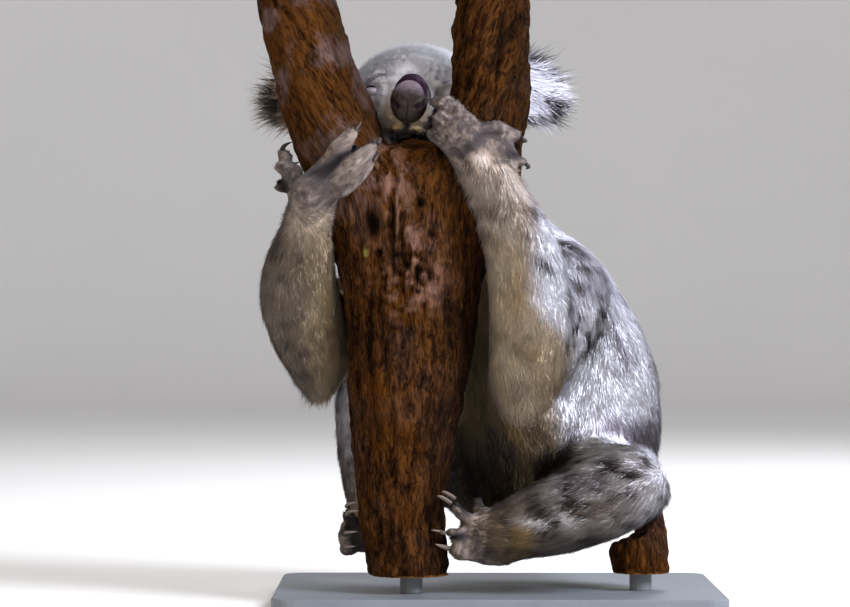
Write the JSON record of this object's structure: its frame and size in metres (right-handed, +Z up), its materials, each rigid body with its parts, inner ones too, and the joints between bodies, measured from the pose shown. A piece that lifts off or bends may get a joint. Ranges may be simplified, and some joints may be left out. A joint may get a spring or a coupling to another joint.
{
  "type": "koala museum model",
  "caption": "Life-size koala asleep with its chin in the fork of a cut tree trunk, arms and legs around the wood, on a plain display stand.",
  "frame": {"origin": "middle of the base plate's underside", "axes": "+Z up; -Y the way the face looks; +X the animal's left"},
  "size_m": [0.3826, 0.2516, 0.5],
  "materials": {
    "fur_grey": "soft matte fur",
    "fur_pale": "soft matte pale fur",
    "fur_short": "short matte fur",
    "nose_leather": "moist satin leather",
    "eye": "wet gloss",
    "claw_horn": "satin horn",
    "bark": "rough fibrous bark",
    "stand_paint": "satin dark grey paint"
  },
  "bodies": {
    "root": {"stand_base": "stand_paint", "stand_rod_trunk": "stand_paint", "stand_rod_seat": "stand_paint", "perch_trunk": "bark", "eye_left": "eye", "eye_right": "eye", "nose": "nose_leather", "head": "fur_grey", "torso": "fur_grey", "neck": "fur_grey", "ear_left": "fur_pale", "forearm_left": "fur_grey", "upper_arm_left": "fur_grey", "hand_left": "fur_short", "shank_left": "fur_grey", "thigh_left": "fur_grey", "foot_left": "fur_short", "ear_right": "fur_pale", "forearm_right": "fur_grey", "upper_arm_right": "fur_grey", "hand_right": "fur_short", "shank_right": "fur_grey", "thigh_right": "fur_grey", "foot_right": "fur_short", "perch_seat": "bark", "claw_hand_left_1": "claw_horn", "claw_hand_left_2": "claw_horn", "claw_hand_left_3": "claw_horn", "claw_hand_left_4": "claw_horn", "claw_hand_left_5": "claw_horn", "claw_foot_left_2": "claw_horn", "claw_foot_left_3": "claw_horn", "claw_foot_left_4": "claw_horn", "claw_foot_left_5": "claw_horn", "claw_hand_right_1": "claw_horn", "claw_hand_right_2": "claw_horn", "claw_hand_right_3": "claw_horn", "claw_hand_right_4": "claw_horn", "claw_hand_right_5": "claw_horn", "claw_foot_right_2": "claw_horn", "claw_foot_right_3": "claw_horn", "claw_foot_right_4": "claw_horn", "claw_foot_right_5": "claw_horn"}
  },
  "joints": []
}
